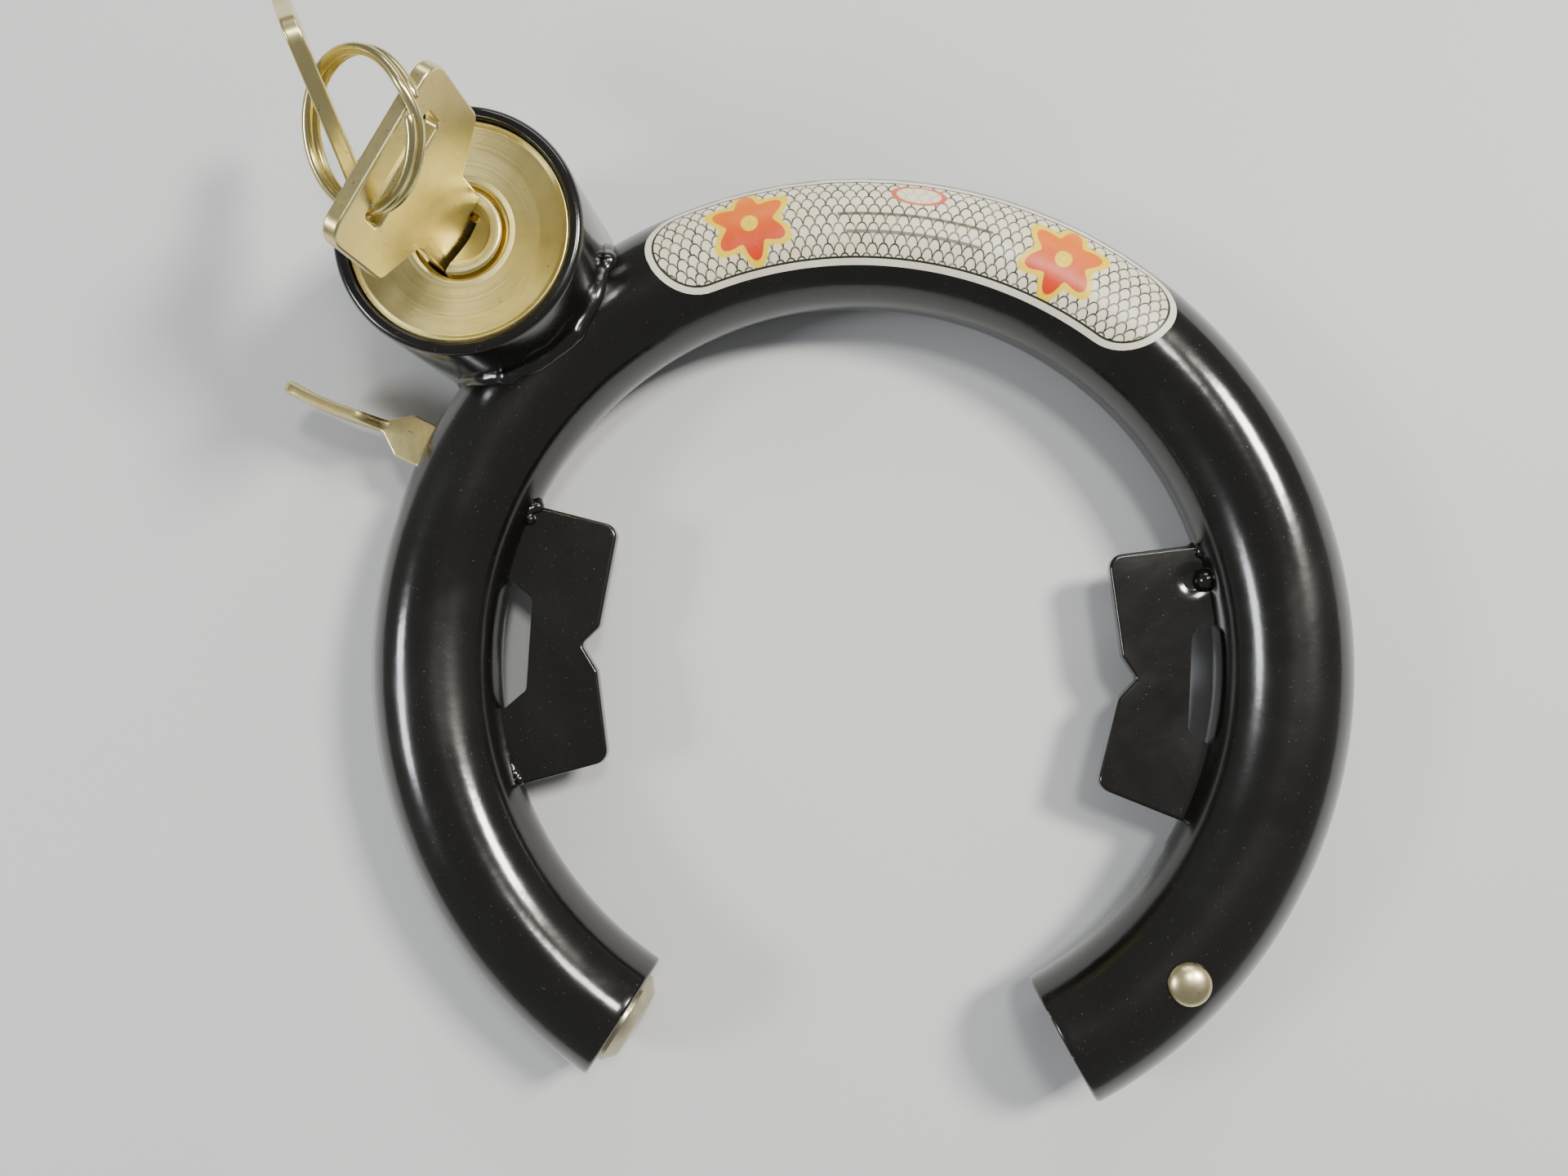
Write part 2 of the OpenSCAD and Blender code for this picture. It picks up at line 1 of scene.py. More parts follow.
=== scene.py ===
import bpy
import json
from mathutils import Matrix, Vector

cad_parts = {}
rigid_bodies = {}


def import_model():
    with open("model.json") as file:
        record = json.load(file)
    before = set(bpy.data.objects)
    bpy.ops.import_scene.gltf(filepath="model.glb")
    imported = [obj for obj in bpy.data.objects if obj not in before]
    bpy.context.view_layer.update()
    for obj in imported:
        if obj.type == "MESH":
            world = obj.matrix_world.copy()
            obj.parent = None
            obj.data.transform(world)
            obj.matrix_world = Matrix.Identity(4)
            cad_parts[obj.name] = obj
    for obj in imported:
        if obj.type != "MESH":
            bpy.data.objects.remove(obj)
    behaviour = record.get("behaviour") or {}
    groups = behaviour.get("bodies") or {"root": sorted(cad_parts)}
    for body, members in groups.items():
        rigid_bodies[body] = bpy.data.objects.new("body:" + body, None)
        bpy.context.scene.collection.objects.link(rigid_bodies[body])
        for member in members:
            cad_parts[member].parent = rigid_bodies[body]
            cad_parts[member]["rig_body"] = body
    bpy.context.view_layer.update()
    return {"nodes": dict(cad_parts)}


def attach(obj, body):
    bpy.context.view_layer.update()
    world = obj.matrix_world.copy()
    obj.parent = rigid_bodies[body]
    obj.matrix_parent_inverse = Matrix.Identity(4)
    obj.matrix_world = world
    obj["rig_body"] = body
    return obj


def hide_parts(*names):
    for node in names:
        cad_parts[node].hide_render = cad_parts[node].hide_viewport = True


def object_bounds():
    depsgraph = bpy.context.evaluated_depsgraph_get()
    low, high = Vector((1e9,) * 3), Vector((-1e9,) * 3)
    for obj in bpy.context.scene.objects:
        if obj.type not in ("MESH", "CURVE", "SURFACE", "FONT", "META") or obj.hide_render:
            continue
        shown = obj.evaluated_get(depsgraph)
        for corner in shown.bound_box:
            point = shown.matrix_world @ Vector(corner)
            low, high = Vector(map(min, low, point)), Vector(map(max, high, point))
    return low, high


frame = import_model()

import json
import math
import random

import bmesh
import bpy
from mathutils import Matrix, Vector, noise

# All sizes below are in millimetres and degrees, as in the CAD part; MM turns them into metres.
MM = 0.001
# Ring: its middle line, the tube's skin and bore, the sliding rod, the gap, and the points round the tube
RING_R, TUBE_R, BORE_R, ROD_R = 52.0, 8.0, 6.0, 5.7
GAP_START, GAP_END = 241.0, 302.5
ROD_TAIL, ROD_TIP = 42.0, 241.4
RING_SIDES = 96
# Barrel: its place on the ring, its cup, and the heights of its rim, face and foot
BARREL_ANGLE, BARREL_R, BARREL_OR, BARREL_IR = 136.0, 66.2, 14.6, 13.05
RIM_Z, FACE_Z, BOTTOM_Z = 18.0, 17.2, -8.0
BOLT_HOLE_R = 2.58
# Plug and keys
PLUG_R, KEY_ANGLE, KEY_TOP, KEY_T = 5.1, 63.4, 41.0, 1.7
# Thumb lever, and the slot in the tube that it slides along
LEVER_ANGLE = 157.0
SLOT_FROM, SLOT_TO, SLOT_HALF = LEVER_ANGLE - 3.4, LEVER_ANGLE + 75.4, 1.3
SLOT_COLUMNS = 3
# Rivet: its place, shank, head, the seat of the head, and the gap round it
RIVET_ANGLE, RIVET_AT = 319.7, 53.3
RIVET_SHANK_R, RIVET_HEAD_R, RIVET_SEAT_Z, RIVET_GAP = 1.48, 2.5, 7.75, 0.07
# Edge rounding of the plates that only cut holes
CUTTER_EDGE = 0.02
SCENE = bpy.context.scene


def rad(a):
    return math.radians(a)


def around(angle, r=0.0, z=0.0):
    """A point at an angle around the ring."""
    return Vector((r * math.cos(rad(angle)), r * math.sin(rad(angle)), z))


def turn(angle, axis="Z"):
    """A turn about an axis, in degrees."""
    return Matrix.Rotation(rad(angle), 4, axis)


def shift(v):
    """A move by a vector."""
    return Matrix.Translation(Vector(v))


def smooth(s):
    """Eases a share from 0 to 1."""
    return s * s * (3 - 2 * s)


def near(a, b):
    return abs(a - b) < 1e-3


BARREL = around(BARREL_ANGLE, BARREL_R)
ON_BARREL = shift(BARREL)


# ---------------------------------------------------------------- materials

def srgb(code):
    """Linear colour from a hex code."""
    values = [int(code[i : i + 2], 16) / 255 for i in (1, 3, 5)]
    return tuple(v / 12.92 if v <= 0.04045 else ((v + 0.055) / 1.055) ** 2.4 for v in values) + (1.0,)


class Finish:
    """A node material: a Principled shader with procedural colour, roughness and bump."""

    def __init__(self, name, **constants):
        self.material = bpy.data.materials.new(name)
        self.material.use_nodes = True
        self.tree = self.material.node_tree
        self.tree.nodes.clear()
        self.shader = self.add("ShaderNodeBsdfPrincipled")
        output = self.add("ShaderNodeOutputMaterial")
        self.link(self.shader.outputs[0], output.inputs[0])
        for socket, value in constants.items():
            self.shader.inputs[socket.replace("_", " ")].default_value = value
        self.coords = self.add("ShaderNodeTexCoord").outputs["Object"]

    def add(self, kind, **settings):
        node = self.tree.nodes.new(kind)
        for key, value in settings.items():
            setattr(node, key, value)
        return node

    def link(self, a, b):
        self.tree.links.new(a, b)

    def put(self, socket, value):
        """Sets a socket to a number, a colour or another node's output."""
        if isinstance(value, bpy.types.NodeSocket):
            self.link(value, socket)
        else:
            socket.default_value = value

    def math(self, op, a, b=None, c=None):
        node = self.add("ShaderNodeMath", operation=op)
        for socket, value in zip(node.inputs, (a, b, c)):
            if value is not None:
                self.put(socket, value)
        return node.outputs[0]

    def length(self, x, y):
        """The length of a flat vector."""
        return self.math("SQRT", self.math("ADD", self.math("MULTIPLY", x, x), self.math("MULTIPLY", y, y)))

    def apart(self, a, b):
        """How far apart two numbers are."""
        return self.math("ABSOLUTE", self.math("SUBTRACT", a, b))

    def mapped(self, scale):
        """The piece's own coordinates, scaled along each axis."""
        node = self.add("ShaderNodeMapping")
        self.link(self.coords, node.inputs["Vector"])
        node.inputs["Scale"].default_value = scale
        return node.outputs[0]

    def noise(self, per_mm, detail=3.0, rough=0.5, distortion=0.0, coords=None):
        node = self.add("ShaderNodeTexNoise")
        self.link(coords or self.coords, node.inputs["Vector"])
        node.inputs["Scale"].default_value = per_mm / MM
        node.inputs["Detail"].default_value = detail
        node.inputs["Roughness"].default_value = rough
        node.inputs["Distortion"].default_value = distortion
        return node.outputs["Fac"]

    def range(self, value, low, high, to_low=0.0, to_high=1.0):
        """A smooth step between two numbers."""
        node = self.add("ShaderNodeMapRange", interpolation_type="SMOOTHSTEP")
        for socket, v in zip(("Value", "From Min", "From Max", "To Min", "To Max"),
                             (value, low, high, to_low, to_high)):
            self.put(node.inputs[socket], v)
        return node.outputs[0]

    def mix(self, factor, a, b):
        node = self.add("ShaderNodeMix", data_type="RGBA")
        self.put(node.inputs[0], factor)
        self.put(node.inputs[6], a)
        self.put(node.inputs[7], b)
        return node.outputs[2]

    def bump(self, height, distance_mm, strength=1.0, under=None):
        node = self.add("ShaderNodeBump")
        node.inputs["Strength"].default_value = strength
        node.inputs["Distance"].default_value = distance_mm * MM
        self.link(height, node.inputs["Height"])
        if under is not None:
            self.link(under, node.inputs["Normal"])
        return node.outputs[0]

    def set(self, **sockets):
        """Sets the shader's sockets and returns the material."""
        for name, value in sockets.items():
            self.put(self.shader.inputs[name.replace("_", " ")], value)
        return self.material


def black_paint(name, lumpy=0.0):
    """Glossy black dipped paint: orange peel, slight smudges and a little dust."""
    f = Finish(name, IOR=1.5, Coat_Weight=0.6, Coat_Roughness=0.11)
    dust = f.range(f.noise(0.9, 5, 0.65), 0.56, 0.8)
    smudge = f.range(f.noise(0.06, 3, 0.6, 0.6), 0.35, 0.7)
    speck = f.range(f.noise(3.2, 2, 0.5), 0.7, 0.76)
    colour = f.mix(f.math("MULTIPLY", dust, 0.35), srgb("#0c0b08"), srgb("#211e18"))
    colour = f.mix(f.math("MULTIPLY", speck, 0.5), colour, srgb("#5b574e"))
    lip = f.add("ShaderNodeAttribute", attribute_name="wear").outputs["Fac"]
    chip = f.math("MULTIPLY", f.range(lip, 0.2, 0.9), f.range(f.noise(0.7, 4, 0.7), 0.56, 0.6))
    colour = f.mix(chip, colour, srgb("#8d897c"))
    rough = f.math("ADD", f.math("MULTIPLY", smudge, 0.12), 0.15)
    rough = f.math("ADD", rough, f.math("MULTIPLY", speck, 0.2))
    peel = f.bump(f.noise(0.55, 2, 0.45), 0.03, 0.55)
    if lumpy:
        peel = f.bump(f.noise(0.28, 3, 0.5), lumpy, 1.0, peel)
    f.link(peel, f.shader.inputs["Coat Normal"])
    return f.set(Base_Color=colour, Roughness=rough, Normal=peel)


def metal(name, light, dark, rough, spread, grain, hairs_per_mm, depth):
    """Plated or bare metal: cloudy tone, directional hairlines and a scatter of tiny pits."""
    f = Finish(name, Metallic=1.0)
    cloud = f.range(f.noise(0.16, 4, 0.6, 0.4), 0.3, 0.75)
    hair = f.noise(hairs_per_mm, 4, 0.7, coords=f.mapped(grain))
    pits = f.range(f.noise(2.4, 2, 0.5), 0.69, 0.74)
    colour = f.mix(f.math("MULTIPLY", cloud, 0.5), srgb(light), srgb(dark))
    colour = f.mix(f.math("MULTIPLY", pits, 0.6), colour, srgb("#4c4433"))
    roughness = f.math("ADD", rough - spread / 2, f.math("MULTIPLY", hair, spread))
    roughness = f.math("ADD", roughness, f.math("MULTIPLY", cloud, spread * 0.6))
    normal = f.bump(hair, depth, 0.8)
    return f.set(Base_Color=colour, Roughness=roughness, Normal=normal)


def turned_metal(name, light, dark):
    """A face turned on a lathe: fine rings about the piece's own Z axis."""
    f = Finish(name, Metallic=1.0, Anisotropic=0.45)
    split = f.add("ShaderNodeSeparateXYZ")
    f.link(f.coords, split.inputs[0])
    radius = f.length(split.outputs[0], split.outputs[1])
    rings = f.add("ShaderNodeTexNoise", noise_dimensions="1D")
    f.link(radius, rings.inputs["W"])
    rings.inputs["Scale"].default_value = 3.4 / MM
    rings.inputs["Detail"].default_value = 4
    fine = rings.outputs["Fac"]
    cloud = f.range(f.noise(0.14, 4, 0.6, 0.5), 0.3, 0.75)
    pits = f.range(f.noise(2.1, 2, 0.5), 0.7, 0.75)
    tangent = f.add("ShaderNodeTangent", direction_type="RADIAL", axis="Z")
    f.link(tangent.outputs[0], f.shader.inputs["Tangent"])
    colour = f.mix(f.math("MULTIPLY", cloud, 0.6), srgb(light), srgb(dark))
    colour = f.mix(f.math("MULTIPLY", pits, 0.5), colour, srgb("#5c5238"))
    rough = f.math("ADD", 0.27, f.math("MULTIPLY", fine, 0.16))
    return f.set(Base_Color=colour, Roughness=rough, Normal=f.bump(fine, 0.006, 0.7))


PAINT = black_paint("black_paint_finish")
BEAD = black_paint("weld_bead_paint", 0.07)
DISC = turned_metal("face_disc_nickel", "#eadc9a", "#c4b36c")
PLUG = turned_metal("plug_nickel", "#eee3aa", "#cbbb76")
KEY = metal("key_nickel_plate", "#eee2a8", "#cab972", 0.27, 0.13, (1, 1, 0.12), 1.6, 0.004)
WIRE = metal("ring_wire_plate", "#e2d69e", "#a6985f", 0.2, 0.1, (1, 1, 1), 1.2, 0.003)
LEVER = metal("lever_plate", "#eadb9c", "#bfa964", 0.3, 0.14, (1, 0.2, 1), 1.8, 0.006)
STEEL = metal("rod_steel", "#c6bda0", "#8b846c", 0.24, 0.14, (0.3, 0.3, 1), 1.2, 0.004)
RIVET = metal("rivet_steel", "#e4d9ac", "#a89c70", 0.3, 0.16, (1, 1, 1), 1.4, 0.006)
BRASS = metal("cylinder_brass", "#d8b765", "#a88642", 0.28, 0.12, (1, 1, 0.2), 1.4, 0.004)
SPRING = metal("spring_steel", "#9fa3a6", "#5d6063", 0.28, 0.1, (1, 1, 1), 2.0, 0.002)
ZINC = metal("cast_zinc", "#b3b4ae", "#84857f", 0.42, 0.16, (1, 1, 1), 0.9, 0.012)


# ---------------------------------------------------------------- mesh helpers

def to_object(name, mesh, body, material, nodes, sharp=32, flat=False):
    """Links a mesh given in millimetres as a piece of the object; flat faces can keep flat normals."""
    mesh.shade_smooth()
    mesh.set_sharp_from_angle(angle=rad(sharp))
    if flat:
        scratch = bpy.data.objects.new("weighted", mesh)
        modifier = scratch.modifiers.new("weighted", "WEIGHTED_NORMAL")
        modifier.keep_sharp, modifier.weight = True, 100
        mesh = evaluated(scratch)
    mesh.transform(Matrix.Scale(MM, 4))
    mesh.materials.clear()
    mesh.materials.append(material)
    piece = bpy.data.objects.new(name, mesh)
    SCENE.collection.objects.link(piece)
    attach(piece, body)
    if nodes:
        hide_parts(*nodes)
    return piece


def evaluated(obj):
    """The final mesh of a scratch object with its modifiers applied; the object is removed."""
    SCENE.collection.objects.link(obj)
    bpy.context.view_layer.update()
    mesh = bpy.data.meshes.new_from_object(obj.evaluated_get(bpy.context.evaluated_depsgraph_get()))
    bpy.data.objects.remove(obj)
    return mesh


def mesh_from(points, faces):
    """A mesh from points and faces, with its faces pointing outward."""
    mesh = bpy.data.meshes.new("piece")
    mesh.from_pydata([tuple(p) for p in points], [], faces)
    mesh.validate()
    bm = bmesh.new()
    bm.from_mesh(mesh)
    bmesh.ops.recalc_face_normals(bm, faces=bm.faces)
    bm.to_mesh(mesh)
    bm.free()
    return mesh


def grid_faces(rows, cols, close_rows=False, close_cols=False):
    """Quads of a grid whose points are numbered row by row."""
    faces = []
    for i in range(rows if close_rows else rows - 1):
        for j in range(cols if close_cols else cols - 1):
            a, b = i * cols + j, i * cols + (j + 1) % cols
            c, d = ((i + 1) % rows) * cols + (j + 1) % cols, ((i + 1) % rows) * cols + j
            faces.append((a, b, c, d))
    return faces


def bar_faces(rows, cols):
    """Faces of a bar made of rings of points: its skin and its two flat ends."""
    last = (rows - 1) * cols
    return grid_faces(rows, cols, False, True) + [tuple(range(cols)), tuple(range(last, last + cols))]


def steps_between(a, b, size):
    """Even steps from a to b, none longer than a size."""
    count = max(1, math.ceil(abs(b - a) / size))
    return [a + (b - a) * i / count for i in range(count + 1)]


def merge_points(mesh, distance, flat=False):
    """Merges points that touch, joins faces that lie flat if asked, and points the faces outward."""
    bm = bmesh.new()
    bm.from_mesh(mesh)
    bmesh.ops.remove_doubles(bm, verts=bm.verts, dist=distance)
    if flat:
        bmesh.ops.dissolve_limit(bm, angle_limit=rad(0.5), verts=bm.verts, edges=bm.edges)
    bmesh.ops.recalc_face_normals(bm, faces=bm.faces)
    bm.to_mesh(mesh)
    bm.free()


def fillet(points, steps=5, closed=True):
    """Rounds the corners of a 2-D path: each point is (x, y) or (x, y, radius)."""
    out, n = [], len(points)
    for i, point in enumerate(points):
        p = Vector(point[:2])
        r = point[2] if len(point) > 2 else 0.0
        if r <= 0 or (not closed and i in (0, n - 1)):
            out.append(p)
            continue
        a, b = Vector(points[i - 1][:2]) - p, Vector(points[(i + 1) % n][:2]) - p
        half = a.angle(b) / 2
        cut = min(r / math.tan(half), 0.49 * a.length, 0.49 * b.length)
        radius = cut * math.tan(half)
        centre = p + (a.normalized() + b.normalized()).normalized() * (radius / math.sin(half))
        start, end = p + a.normalized() * cut - centre, p + b.normalized() * cut - centre
        sweep = start.angle_signed(end)
        for k in range(steps + 1):
            out.append(centre + Matrix.Rotation(-sweep * k / steps, 2) @ start)
    return out


def lathe(profile, place=Matrix.Identity(4), segments=128):
    """A closed (radius, height) profile turned about Z. Points on the axis are merged."""
    path = fillet(profile)
    turns = [2 * math.pi * j / segments for j in range(segments)]
    points = [Vector((p.x * math.cos(a), p.x * math.sin(a), p.y)) for p in path for a in turns]
    mesh = mesh_from(points, grid_faces(len(path), segments, True, True))
    merge_points(mesh, 1e-5)
    mesh.transform(place)
    return mesh


def slab(loops, thickness, bevel, place=Matrix.Identity(4), resolution=3):
    """A flat plate with holes from closed 2-D loops, its edges rounded."""
    curve = bpy.data.curves.new("outline", "CURVE")
    curve.dimensions, curve.fill_mode = "2D", "BOTH"
    curve.extrude, curve.bevel_depth = thickness / 2 - bevel, bevel
    curve.offset, curve.bevel_resolution = -bevel, resolution
    for loop in loops:
        spline = curve.splines.new("POLY")
        spline.points.add(len(loop) - 1)
        spline.use_cyclic_u = True
        for p, q in zip(spline.points, loop):
            p.co = (q[0], q[1], 0, 1)
    mesh = evaluated(bpy.data.objects.new("outline", curve))
    merge_points(mesh, 1e-4, flat=True)
    mesh.transform(place)
    return mesh


def rounded_box_loop(x0, y0, x1, y1, r):
    """The outline of a box with rounded corners."""
    return fillet([(x0, y0, r), (x1, y0, r), (x1, y1, r), (x0, y1, r)], 6)


def cut(mesh, cutter):
    """One scratch mesh with another taken away."""
    body, tool = bpy.data.objects.new("cut_body", mesh), bpy.data.objects.new("cut_tool", cutter)
    SCENE.collection.objects.link(tool)
    modifier = body.modifiers.new("cut", "BOOLEAN")
    modifier.operation, modifier.object, modifier.solver = "DIFFERENCE", tool, "EXACT"
    result = evaluated(body)
    bpy.data.objects.remove(tool)
    return result


def bevelled(mesh, width, segments):
    """Rounds the sharp edges of a mesh."""
    obj = bpy.data.objects.new("bevel_body", mesh)
    modifier = obj.modifiers.new("bevel", "BEVEL")
    modifier.width, modifier.segments = width, segments
    modifier.limit_method, modifier.angle_limit = "ANGLE", rad(50)
    modifier.use_clamp_overlap = True
    return evaluated(obj)


def blobs(spots, voxel, relaxing):
    """One lumpy skin around a row of balls: spots are (point, radius)."""
    bm = bmesh.new()
    for point, r in spots:
        bmesh.ops.create_icosphere(bm, subdivisions=3, radius=r, matrix=shift(point))
    mesh = bpy.data.meshes.new("blobs")
    bm.to_mesh(mesh)
    bm.free()
    obj = bpy.data.objects.new("blobs", mesh)
    remesh = obj.modifiers.new("skin", "REMESH")
    remesh.mode, remesh.voxel_size = "VOXEL", voxel
    relax = obj.modifiers.new("relax", "SMOOTH")
    relax.iterations, relax.factor = relaxing, 0.5
    return evaluated(obj)


# ---------------------------------------------------------------- ring tube and barrel

def tube_rows():
    """(angle, radius) of each ring of points, out along the tube's skin and back along its bore."""
    mm_per_deg = math.pi * RING_R / 180
    start, end = (GAP_END - 360) * mm_per_deg, GAP_START * mm_per_deg
    outline = fillet([(start, TUBE_R, 0.45), (end, TUBE_R, 0.45),
                      (end, BORE_R, 0.3), (start, BORE_R, 0.3)], 4)
    rows = []
    for i, p in enumerate(outline):
        q = outline[(i + 1) % len(outline)]
        rows.append((p.x / mm_per_deg, p.y))
        if abs(p.y - q.y) < 1e-4 and abs(p.x - q.x) > 10:
            a, b = p.x / mm_per_deg, q.x / mm_per_deg
            stops = [a] + sorted((SLOT_FROM, SLOT_TO), reverse=b < a) + [b]
            for s, t in zip(stops, stops[1:]):
                rows += [(x, p.y) for x in steps_between(s, t, 0.9)][1:]
            rows.pop()
    return rows


def section_angle(column, r):
    """The angle of a column of points round the tube; those beside the slot are drawn in to its edges."""
    a = 360 * column / RING_SIDES
    a = a - 360 if a > 180 else a
    edge, far = 360 * SLOT_COLUMNS / RING_SIDES, 30
    slot_edge = math.degrees(math.asin(SLOT_HALF / r))
    if abs(a) <= edge:
        return a * slot_edge / edge
    if abs(a) < far:
        return math.copysign(slot_edge + (abs(a) - edge) * (far - slot_edge) / (far - edge), a)
    return a


def slotted_faces(rows):
    """The tube's faces without those over the slot, and the slot's walls."""
    slot_columns = {c % RING_SIDES for c in range(-SLOT_COLUMNS, SLOT_COLUMNS + 1)}
    faces = []
    for face in grid_faces(len(rows), RING_SIDES, True, True):
        (angle, r), (next_angle, next_r) = rows[face[0] // RING_SIDES], rows[face[3] // RING_SIDES]
        in_slot = {v % RING_SIDES for v in face} <= slot_columns and near(r, next_r)
        if not (in_slot and SLOT_FROM < (angle + next_angle) / 2 < SLOT_TO):
            faces.append(face)
    walls = []
    for wall_r in (TUBE_R, BORE_R):
        wall = [(t, i) for i, (t, r) in enumerate(rows)
                if near(r, wall_r) and SLOT_FROM - 1e-3 < t < SLOT_TO + 1e-3]
        walls.append([i * RING_SIDES for t, i in sorted(wall)])
    outer, inner = walls
    for column in (SLOT_COLUMNS, RING_SIDES - SLOT_COLUMNS):
        for k in range(len(outer) - 1):
            faces.append((outer[k] + column, outer[k + 1] + column,
                          inner[k + 1] + column, inner[k] + column))
    for k in (0, -1):
        for c in range(-SLOT_COLUMNS, SLOT_COLUMNS):
            a, b = c % RING_SIDES, (c + 1) % RING_SIDES
            faces.append((outer[k] + a, outer[k] + b, inner[k] + b, inner[k] + a))
    return faces


def mark_worn_lips(mesh):
    """Gives the tube's two lips a wear value, which the paint's chips read."""
    lip = 0.45
    wear = mesh.attributes.new("wear", "FLOAT", "POINT")
    for v, value in zip(mesh.vertices, wear.data):
        angle = math.degrees(math.atan2(v.co.y, v.co.x)) % 360
        gap = min(abs(angle - GAP_START), abs(angle - GAP_END))
        value.value = max(0.0, 1 - gap / lip)


def make_tube():
    """The bent tube: softened lips at both ends, and the lever's slot with rounded edges."""
    rows, points = tube_rows(), []
    for t, r in rows:
        for column in range(RING_SIDES):
            s = rad(section_angle(column, r))
            points.append(around(t, RING_R + r * math.cos(s), r * math.sin(s)))
    mesh = bevelled(mesh_from(points, slotted_faces(rows)), 0.22, 2)
    low, high = RING_R + 3, RING_R + 12
    bolt_hole = lathe([(0, low), (BOLT_HOLE_R, low), (BOLT_HOLE_R, high), (0, high)],
                      turn(BARREL_ANGLE) @ turn(90, "Y"), 48)
    shank_r, head_r, clear = RIVET_SHANK_R + RIVET_GAP, RIVET_HEAD_R + RIVET_GAP, 12
    rivet_hole = lathe([(0, -clear), (shank_r, -clear), (shank_r, RIVET_SEAT_Z), (head_r, RIVET_SEAT_Z),
                        (head_r, clear), (0, clear)], shift(around(RIVET_ANGLE, RIVET_AT)), 64)
    mesh = cut(cut(mesh, bolt_hole), rivet_hole)
    mark_worn_lips(mesh)
    to_object("tube_wall", mesh, "frame", PAINT, ["ring_tube"])


def tube_solid(start, end, r):
    """A solid stretch of the ring, to cope other parts on."""
    thetas = steps_between(start, end, 1.0)
    section = [rad(360 * j / RING_SIDES) for j in range(RING_SIDES)]
    points = [around(t, RING_R + r * math.cos(s), r * math.sin(s)) for t in thetas for s in section]
    return mesh_from(points, bar_faces(len(thetas), RING_SIDES))


def make_barrel():
    """The barrel's cup and its back cover, both coped over the tube."""
    cope_from, cope_to = 112, 160
    shell = lathe([(BARREL_IR, BOTTOM_Z, 0.15), (BARREL_OR, BOTTOM_Z, 0.7), (BARREL_OR, RIM_Z, 0.75),
                   (BARREL_IR, RIM_Z, 0.4)], ON_BARREL, 160)
    shell = cut(shell, tube_solid(cope_from, cope_to, TUBE_R - 0.02))
    to_object("barrel_cup", shell, "frame", PAINT, ["barrel_shell"])
    cover_r, cover_z = 12.98, -6.4
    cover = lathe([(0, BOTTOM_Z), (cover_r, BOTTOM_Z, 0.45), (cover_r, cover_z, 0.1), (0, cover_z)],
                  ON_BARREL)
    cover = cut(cover, tube_solid(cope_from, cope_to, TUBE_R + 0.15))
    to_object("barrel_back", cover, "frame", PAINT, ["back_cover"])


def make_disc():
    """Dished face with a raised bright edge; its origin is on the barrel's axis, for the turned finish."""
    profile = [(5.5, 15.4), (13, 15.4), (13, FACE_Z + 0.12, 0.1), (12.72, FACE_Z + 0.35, 0.2),
               (12.2, FACE_Z + 0.05, 0.3), (9.5, FACE_Z - 0.2, 3), (6.6, FACE_Z - 0.22, 0.5),
               (5.95, FACE_Z - 0.1, 0.2), (5.5, FACE_Z - 0.35, 0.15)]
    mesh = lathe(profile, segments=192)
    disc = to_object("barrel_face", mesh, "frame", DISC, ["face_disc"], 50)
    move_origin(disc, BARREL)


def move_origin(piece, place):
    """Sets a piece that was made about Z at the origin down at its place."""
    piece.matrix_world = shift(Vector(place) * MM) @ piece.matrix_world
    body = piece["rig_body"]
    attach(piece, body)


def make_plug():
    """The plug's face with its rim, its keyway and the small notch beside it."""
    profile = [(0, 3), (3.2, 3), (3.2, 5.4), (PLUG_R, 5.4, 0.1), (PLUG_R, FACE_Z + 0.12, 0.4),
               (3.75, FACE_Z + 0.12, 0.3), (3.45, FACE_Z - 0.15, 0.1), (0, FACE_Z - 1.35)]
    keyway = slab([rounded_box_loop(-6.2, -1.2, 2.8, 1.2, 0.25)], 14, CUTTER_EDGE,
                  turn(KEY_ANGLE) @ shift((0, 0, 11.6)))
    notch = slab([rounded_box_loop(-2.45, 0.9, -0.95, 2.35, 0.15)], 8, CUTTER_EDGE,
                 turn(KEY_ANGLE) @ shift((0, 0, FACE_Z)))
    mesh = cut(cut(lathe(profile), keyway), notch)
    plug = to_object("plug_front", mesh, "plug", PLUG, ["key_plug"], 35)
    move_origin(plug, BARREL)


def make_rivet():
    """Low pan head with a softly flattened crown, and the shank that shows at the back."""
    foot_z, brim_r, brim_z, crown_h = BOTTOM_Z + 0.05, RIVET_HEAD_R - 0.02, RIVET_SEAT_Z + 0.25, 1.22
    crown = [(brim_r * math.cos(a), brim_z + crown_h * math.sin(a) ** 1.15)
             for a in (rad(6 * k) for k in range(1, 15))]
    profile = [(0, foot_z), (RIVET_SHANK_R, foot_z, 0.15), (RIVET_SHANK_R, RIVET_SEAT_Z),
               (brim_r, RIVET_SEAT_Z, 0.12), (RIVET_HEAD_R, brim_z), *crown, (0, brim_z + crown_h)]
    mesh = lathe(profile, segments=96)
    rivet = to_object("spring_rivet", mesh, "frame", RIVET, ["anchor_rivet"])
    move_origin(rivet, around(RIVET_ANGLE, RIVET_AT))


# ---------------------------------------------------------------- shackle

